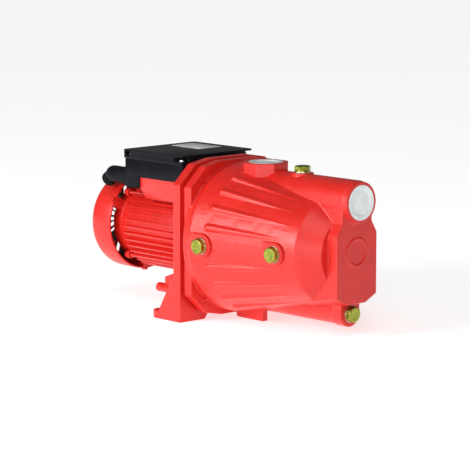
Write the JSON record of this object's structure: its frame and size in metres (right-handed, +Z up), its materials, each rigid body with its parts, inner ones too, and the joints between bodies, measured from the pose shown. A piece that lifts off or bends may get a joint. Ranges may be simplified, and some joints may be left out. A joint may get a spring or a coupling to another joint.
{
  "type": "self-priming jet pump",
  "caption": "Horizontal close-coupled jet pump: ribbed cast casing with ejector inside, footed bracket, finned motor, terminal box and fan cover.",
  "frame": {"origin": "on the floor, midway between the two foot bolt holes", "axes": "+X along the shaft towards the suction port, +Z up, the way the discharge port points"},
  "size_m": [0.411, 0.1864, 0.1944],
  "materials": {
    "red_casting": "gloss red enamel over cast iron",
    "red_aluminium": "gloss red enamel over die-cast aluminium",
    "red_cover": "gloss red enamel on drawn sheet",
    "black_plastic": "semi-gloss black moulding",
    "yellow_zinc": "yellow-green passivated zinc",
    "fibre_washer": "pale washer",
    "zinc_steel": "zinc plated",
    "machined_steel": "machined bright",
    "lamination_steel": "stacked laminations",
    "cast_aluminium": "die cast",
    "copper_winding": "enamelled copper wire",
    "brass": "machined brass",
    "glass_filled_plastic": "glass-filled moulding",
    "rubber": "black nitrile",
    "seal_ceramic": "lapped",
    "seal_carbon": "lapped carbon",
    "capacitor_case": "white moulded case",
    "terminal_plastic": "pale moulding",
    "label_foil": "printed-free foil"
  },
  "bodies": {
    "pump": {"pump_casing": "red_casting", "motor_bracket": "red_casting", "motor_housing": "red_aluminium", "rear_end_shield": "red_aluminium", "fan_cover": "red_cover", "terminal_box_base": "black_plastic", "terminal_box_lid": "black_plastic", "gland_body": "black_plastic", "gland_nut": "black_plastic", "side_plugs": "yellow_zinc", "side_plug_washers": "fibre_washer", "casing_bolts": "zinc_steel", "casing_bolt_washers": "zinc_steel", "tie_rods": "zinc_steel", "lid_screws": "zinc_steel", "box_screws": "zinc_steel", "fan_cover_screws": "zinc_steel", "diffuser_screws": "zinc_steel", "earth_screw": "zinc_steel", "capacitor_clamp": "zinc_steel", "seal_seat_cup": "machined_steel", "wave_spring": "machined_steel", "front_bearing_outer_race": "machined_steel", "rear_bearing_outer_race": "machined_steel", "stator_core": "lamination_steel", "stator_winding_front": "copper_winding", "stator_winding_rear": "copper_winding", "terminal_screws": "brass", "diffuser": "glass_filled_plastic", "venturi_tube": "glass_filled_plastic", "ejector_nozzle": "glass_filled_plastic", "casing_gasket": "rubber", "venturi_seal": "rubber", "box_gasket": "rubber", "gland_seal": "rubber", "seal_seat": "seal_ceramic", "run_capacitor": "capacitor_case", "terminal_block": "terminal_plastic", "rating_plate": "label_foil"},
    "rotor": {"shaft": "machined_steel", "rotor_core": "lamination_steel", "rotor_end_rings": "cast_aluminium", "impeller": "brass", "impeller_key": "machined_steel", "impeller_nut": "brass", "cooling_fan": "glass_filled_plastic", "fan_clip": "zinc_steel", "seal_head": "seal_carbon", "seal_spring": "machined_steel", "seal_spring_collar": "machined_steel", "front_bearing_inner_race": "machined_steel", "rear_bearing_inner_race": "machined_steel", "water_slinger": "rubber"},
    "priming_washer": {"priming_plug_washer": "fibre_washer"},
    "priming_plug": {"priming_plug": "yellow_zinc"},
    "drain_washer": {"drain_plug_washer": "fibre_washer"},
    "drain_plug": {"drain_plug": "yellow_zinc"}
  },
  "joints": [
    {"name": "rotor_spin", "type": "hinge", "parent": "pump", "child": "rotor", "pos_m": [0.036, 0, 0.098], "axis": [1, 0, 0], "continuous": true},
    {"name": "priming_plug_lift", "type": "slide", "parent": "pump", "child": "priming_washer", "axis": [0, 0, 1], "range_m": [0, 0.00698]},
    {"name": "priming_plug_turn", "type": "hinge", "parent": "priming_washer", "child": "priming_plug", "pos_m": [0.1537, 0, 0.1836], "axis": [0, 0, 1], "range_deg": [0, 1880]},
    {"name": "drain_plug_draw", "type": "slide", "parent": "pump", "child": "drain_washer", "axis": [1, 0, 0], "range_m": [0, 0.00798]},
    {"name": "drain_plug_turn", "type": "hinge", "parent": "drain_washer", "child": "drain_plug", "pos_m": [0.232, 0, 0.028], "axis": [1, 0, 0], "range_deg": [0, 2150]}
  ],
  "couplings": [
    {"joint": "priming_plug_turn", "follows": "priming_plug_lift", "rad_per_m": 4699.5},
    {"joint": "drain_plug_turn", "follows": "drain_plug_draw", "rad_per_m": 4699.5}
  ]
}
